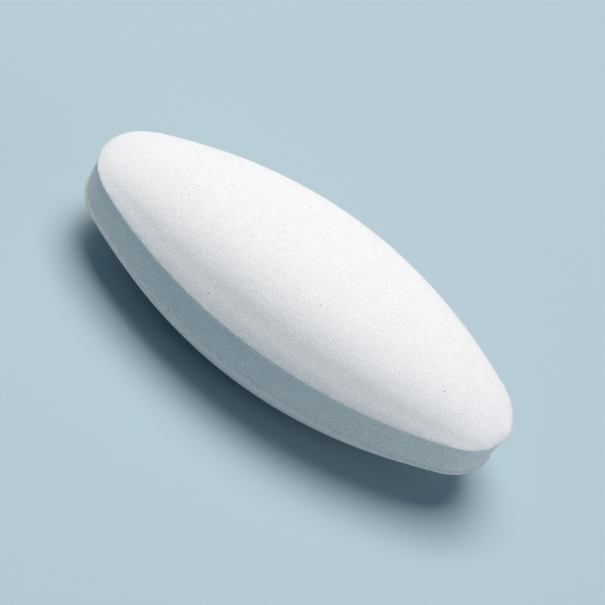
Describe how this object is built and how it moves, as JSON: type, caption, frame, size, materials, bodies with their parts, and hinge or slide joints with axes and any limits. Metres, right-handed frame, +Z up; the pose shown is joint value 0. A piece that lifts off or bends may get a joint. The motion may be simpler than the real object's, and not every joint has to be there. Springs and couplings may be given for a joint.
{
  "type": "oval pressed tablet",
  "caption": "Smooth white almond-shaped tablet, pressed in one piece: a straight band all round, and the same domed face above and below it.",
  "frame": {"origin": "the middle of the lower face's crown, which is the point that the tablet rests on", "axes": "+X along the length to one tip, +Y across the width, +Z up through the crowns of both faces"},
  "size_m": [0.019, 0.0088, 0.0061],
  "materials": {
    "pressed_powder": "matte chalky white, uncoated, with sparse tiny dark specks"
  },
  "bodies": {
    "root": {"tablet": "pressed_powder"}
  },
  "joints": []
}
